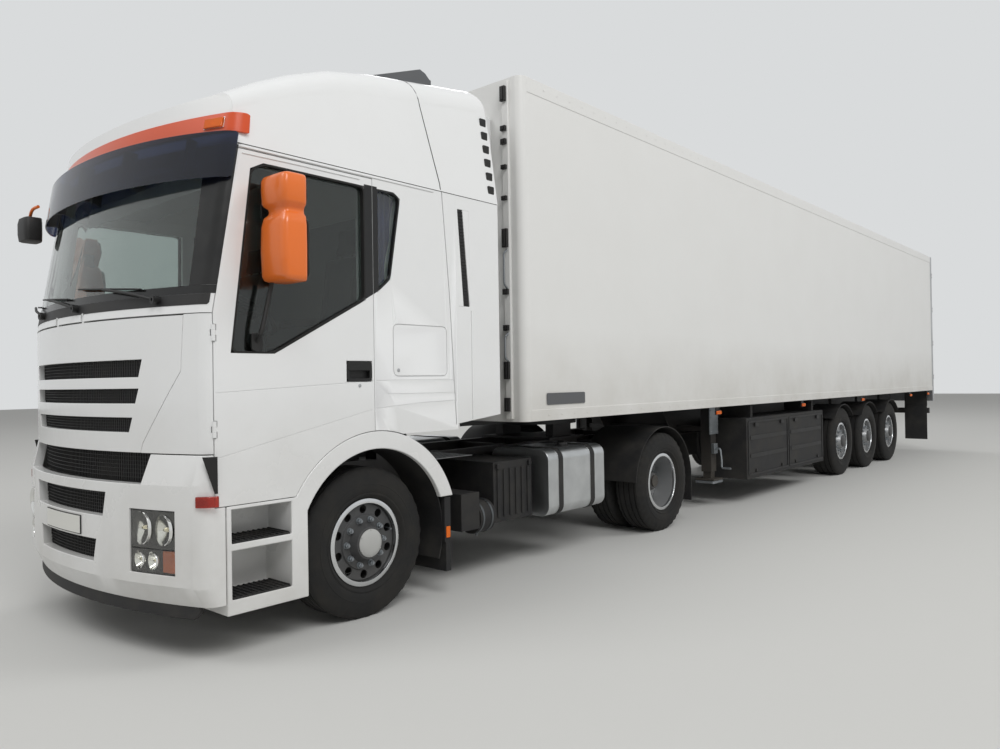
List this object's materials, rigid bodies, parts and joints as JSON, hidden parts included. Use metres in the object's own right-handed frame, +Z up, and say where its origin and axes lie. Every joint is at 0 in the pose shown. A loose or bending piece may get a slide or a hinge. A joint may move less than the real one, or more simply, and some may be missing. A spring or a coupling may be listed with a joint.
{
  "type": "articulated refrigerated truck",
  "caption": "High-roof tractor hinged at its coupling to a refrigerated box semi-trailer, with opening doors, front flap, steering and turning wheels.",
  "frame": {"origin": "on the ground, below the centre of the vehicle's length and width", "axes": "+Z up, -Y the way the vehicle faces, +X its left side"},
  "size_m": [3.0596, 16.5, 3.99],
  "materials": {
    "frame_paint": "satin",
    "cab_paint": "gloss",
    "visor": "gloss",
    "glass": "gloss",
    "lamp": "gloss",
    "black_plastic": "matte",
    "dash_plastic": "matte",
    "seat_fabric": "matte",
    "engine_iron": "matte",
    "aluminium": "satin",
    "cast_iron": "satin",
    "mirror_paint": "gloss",
    "rubber": "matte",
    "wheel_steel": "satin",
    "box_paint": "gloss",
    "floor_alu": "satin",
    "steel": "satin",
    "unit_paint": "gloss"
  },
  "bodies": {
    "tractor": {"tractor_frame": "frame_paint", "cab_shell": "cab_paint", "cab_roof": "cab_paint", "sun_visor": "visor", "cab_glass": "glass", "corner_panels": "cab_paint", "front_bumper": "cab_paint", "headlamps": "lamp", "entry_steps": "cab_paint", "front_mudguards": "black_plastic", "side_fairings": "cab_paint", "dashboard": "dash_plastic", "seats": "seat_fabric", "engine": "engine_iron", "side_tanks": "aluminium", "front_axle": "frame_paint", "rear_axle": "frame_paint", "fifth_wheel": "cast_iron", "rear_mudguards": "black_plastic"},
    "trailer": {"box_sides": "box_paint", "box_roof": "box_paint", "box_floor": "floor_alu", "box_front_wall": "box_paint", "rear_frame": "steel", "fridge_unit": "unit_paint", "trailer_chassis": "frame_paint", "pallet_boxes": "black_plastic", "trailer_axles": "frame_paint", "trailer_guards": "black_plastic"},
    "front_flap": {"front_flap": "cab_paint"},
    "door_left": {"door_left": "cab_paint", "door_glass_left": "glass", "mirror_left": "mirror_paint"},
    "knuckle_left": {"knuckle_left": "cast_iron"},
    "front_wheel_left": {"front_tyre_left": "rubber", "front_rim_left": "wheel_steel"},
    "drive_wheel_left": {"drive_tyres_left": "rubber", "drive_rims_left": "wheel_steel"},
    "rear_door_left": {"rear_door_left": "box_paint"},
    "trailer_wheel_left_1": {"trailer_tyre_left_1": "rubber", "trailer_rim_left_1": "wheel_steel"},
    "trailer_wheel_left_2": {"trailer_tyre_left_2": "rubber", "trailer_rim_left_2": "wheel_steel"},
    "trailer_wheel_left_3": {"trailer_tyre_left_3": "rubber", "trailer_rim_left_3": "wheel_steel"},
    "door_right": {"door_right": "cab_paint", "door_glass_right": "glass", "mirror_right": "mirror_paint"},
    "knuckle_right": {"knuckle_right": "cast_iron"},
    "front_wheel_right": {"front_tyre_right": "rubber", "front_rim_right": "wheel_steel"},
    "drive_wheel_right": {"drive_tyres_right": "rubber", "drive_rims_right": "wheel_steel"},
    "rear_door_right": {"rear_door_right": "box_paint"},
    "trailer_wheel_right_1": {"trailer_tyre_right_1": "rubber", "trailer_rim_right_1": "wheel_steel"},
    "trailer_wheel_right_2": {"trailer_tyre_right_2": "rubber", "trailer_rim_right_2": "wheel_steel"},
    "trailer_wheel_right_3": {"trailer_tyre_right_3": "rubber", "trailer_rim_right_3": "wheel_steel"}
  },
  "joints": [
    {"name": "coupling", "type": "hinge", "parent": "tractor", "child": "trailer", "pos_m": [0, -3.61, 1.15], "axis": [0, 0, 1], "range_deg": [-90, 90]},
    {"name": "flap_hinge", "type": "hinge", "parent": "tractor", "child": "front_flap", "pos_m": [0, -8.185, 1.99], "axis": [-1, 0, 0], "range_deg": [0, 80]},
    {"name": "door_hinge_left", "type": "hinge", "parent": "tractor", "child": "door_left", "pos_m": [1.246, -7.92, 1.8], "axis": [0, 0, -1], "range_deg": [0, 75]},
    {"name": "steering_left", "type": "hinge", "parent": "tractor", "child": "knuckle_left", "pos_m": [0.9, -6.8, 0.495], "axis": [0, 0, 1], "range_deg": [-40, 40]},
    {"name": "front_wheel_spin_left", "type": "hinge", "parent": "knuckle_left", "child": "front_wheel_left", "pos_m": [1.02, -6.8, 0.495], "axis": [1, 0, 0], "continuous": true},
    {"name": "drive_wheel_spin_left", "type": "hinge", "parent": "tractor", "child": "drive_wheel_left", "pos_m": [0.91, -3.01, 0.495], "axis": [1, 0, 0], "continuous": true},
    {"name": "rear_door_hinge_left", "type": "hinge", "parent": "trailer", "child": "rear_door_left", "pos_m": [1.292, 8.178, 2.6], "axis": [0, 0, -1], "range_deg": [0, 260]},
    {"name": "trailer_wheel_spin_left_1", "type": "hinge", "parent": "trailer", "child": "trailer_wheel_left_1", "pos_m": [1.0175, 2.63, 0.525], "axis": [1, 0, 0], "continuous": true},
    {"name": "trailer_wheel_spin_left_2", "type": "hinge", "parent": "trailer", "child": "trailer_wheel_left_2", "pos_m": [1.0175, 3.94, 0.525], "axis": [1, 0, 0], "continuous": true},
    {"name": "trailer_wheel_spin_left_3", "type": "hinge", "parent": "trailer", "child": "trailer_wheel_left_3", "pos_m": [1.0175, 5.25, 0.525], "axis": [1, 0, 0], "continuous": true},
    {"name": "door_hinge_right", "type": "hinge", "parent": "tractor", "child": "door_right", "pos_m": [-1.246, -7.92, 1.8], "axis": [0, 0, 1], "range_deg": [0, 75]},
    {"name": "steering_right", "type": "hinge", "parent": "tractor", "child": "knuckle_right", "pos_m": [-0.9, -6.8, 0.495], "axis": [0, 0, 1], "range_deg": [-40, 40]},
    {"name": "front_wheel_spin_right", "type": "hinge", "parent": "knuckle_right", "child": "front_wheel_right", "pos_m": [-1.02, -6.8, 0.495], "axis": [1, 0, 0], "continuous": true},
    {"name": "drive_wheel_spin_right", "type": "hinge", "parent": "tractor", "child": "drive_wheel_right", "pos_m": [-0.91, -3.01, 0.495], "axis": [1, 0, 0], "continuous": true},
    {"name": "rear_door_hinge_right", "type": "hinge", "parent": "trailer", "child": "rear_door_right", "pos_m": [-1.292, 8.178, 2.6], "axis": [0, 0, 1], "range_deg": [0, 260]},
    {"name": "trailer_wheel_spin_right_1", "type": "hinge", "parent": "trailer", "child": "trailer_wheel_right_1", "pos_m": [-1.0175, 2.63, 0.525], "axis": [1, 0, 0], "continuous": true},
    {"name": "trailer_wheel_spin_right_2", "type": "hinge", "parent": "trailer", "child": "trailer_wheel_right_2", "pos_m": [-1.0175, 3.94, 0.525], "axis": [1, 0, 0], "continuous": true},
    {"name": "trailer_wheel_spin_right_3", "type": "hinge", "parent": "trailer", "child": "trailer_wheel_right_3", "pos_m": [-1.0175, 5.25, 0.525], "axis": [1, 0, 0], "continuous": true}
  ],
  "couplings": [
    {"joint": "steering_right", "follows": "steering_left", "ratio": 1}
  ]
}
